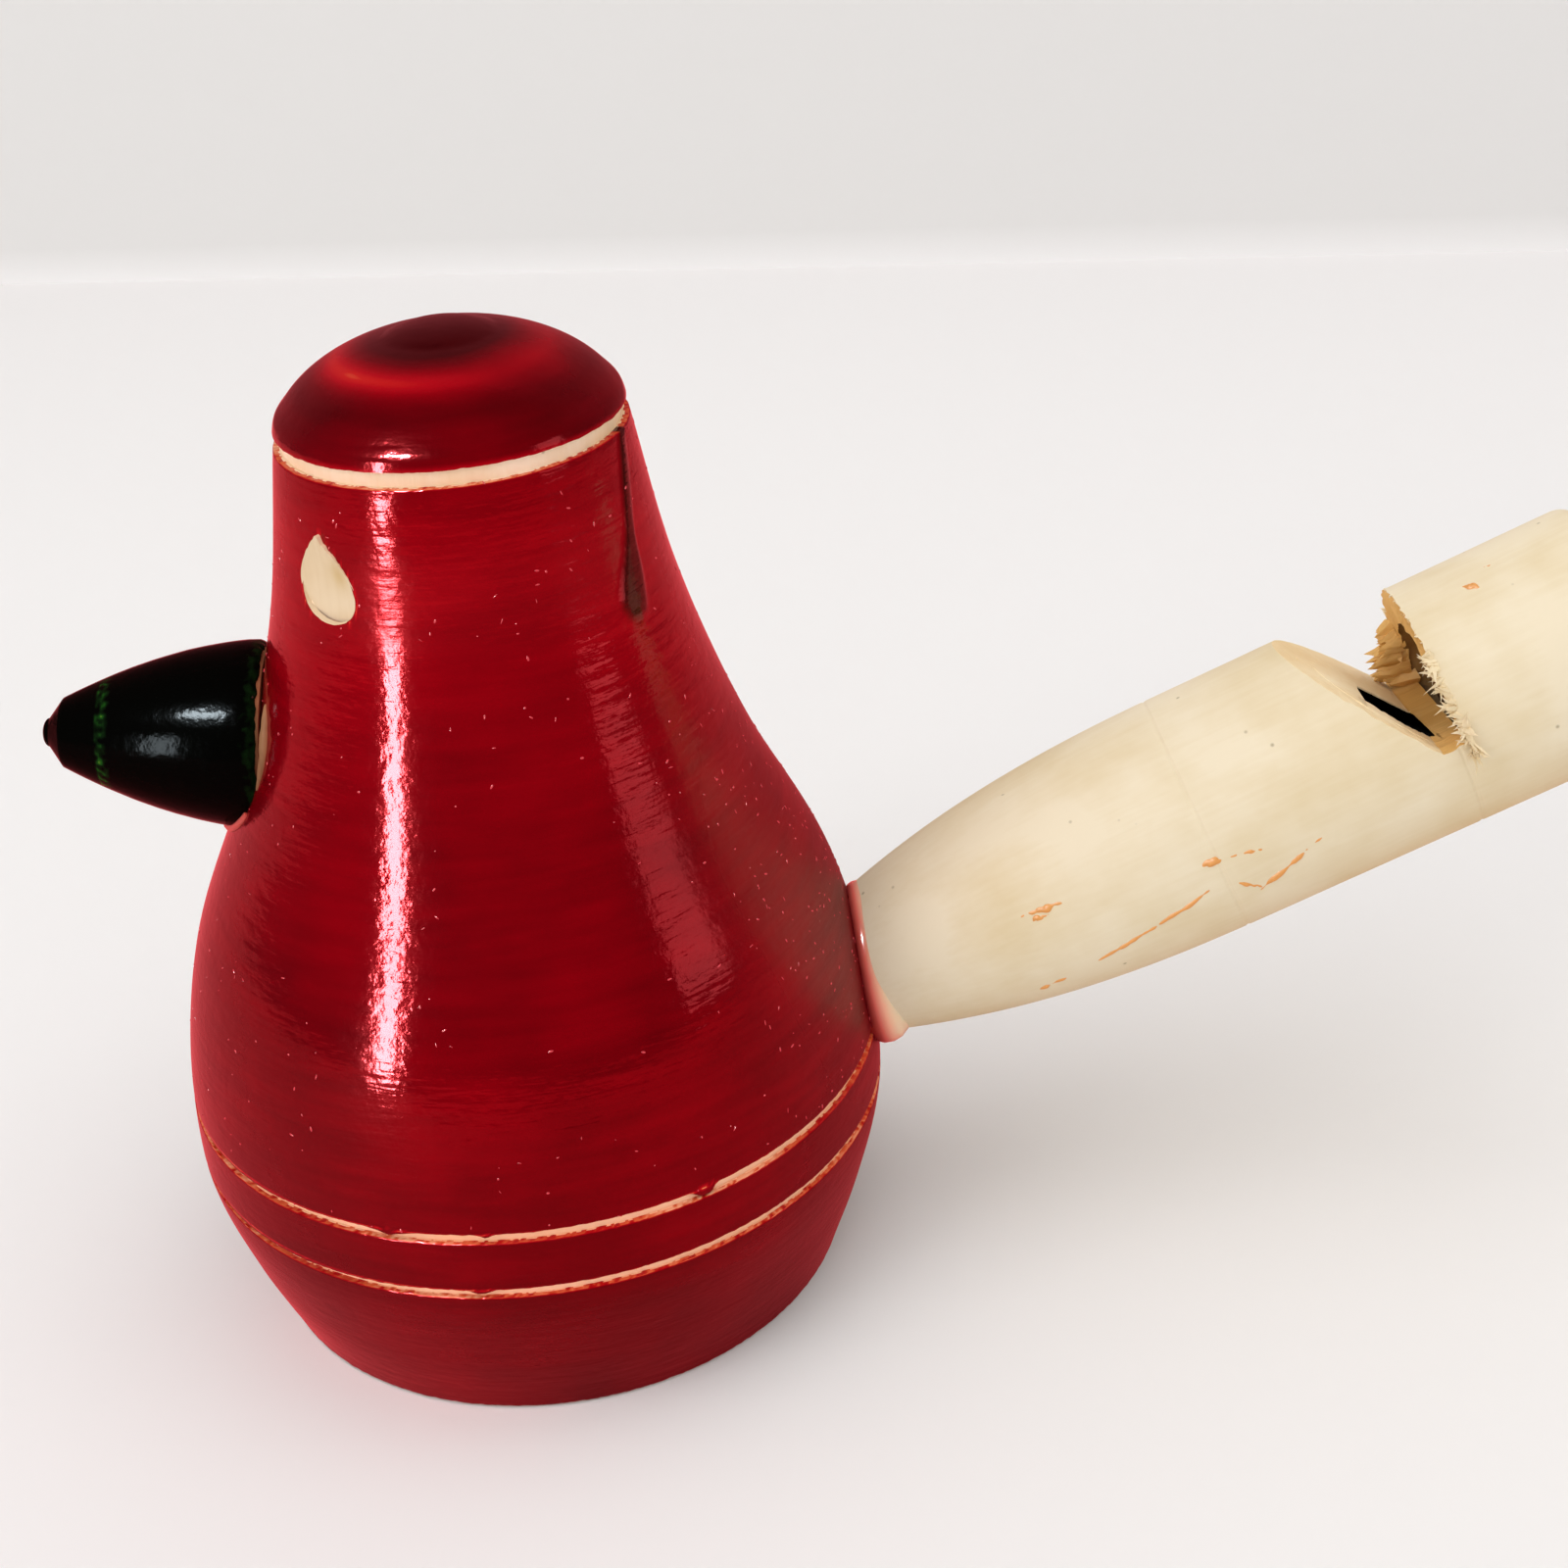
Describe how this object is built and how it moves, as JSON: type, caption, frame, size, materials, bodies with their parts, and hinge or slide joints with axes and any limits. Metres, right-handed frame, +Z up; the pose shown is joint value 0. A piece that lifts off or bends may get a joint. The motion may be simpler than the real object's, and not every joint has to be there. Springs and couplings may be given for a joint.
{
  "type": "bird whistle",
  "caption": "Lac-turned wooden bird whistle: pear-shaped red body with scored rings, glued green beak and a pale upturned tail tube with fipple block, window and air slit.",
  "frame": {"origin": "centre of the flat foot that the bird stands on", "axes": "+Z up along the turning axis of the body, +X towards the tail and its mouth end, -X towards the beak"},
  "size_m": [0.0892, 0.04, 0.0564],
  "materials": {
    "turned_wood": "bare, scraped on the lathe",
    "red_lac": "thick translucent lac, burnished to a gloss",
    "green_lac": "thick dark green lac, glossy",
    "glue": "dried translucent glue, stained pink by the lac",
    "tail_wood": "bare pale wood, scraped smooth"
  },
  "bodies": {
    "root": {"body_core": "turned_wood", "foot_lacquer": "red_lac", "band_lacquer": "red_lac", "body_lacquer": "red_lac", "cap_lacquer": "red_lac", "beak_core": "turned_wood", "beak_lacquer": "green_lac", "beak_glue_bead": "glue", "whistle_tube": "tail_wood", "fipple_block": "tail_wood", "tail_glue_bead": "glue"}
  },
  "joints": []
}
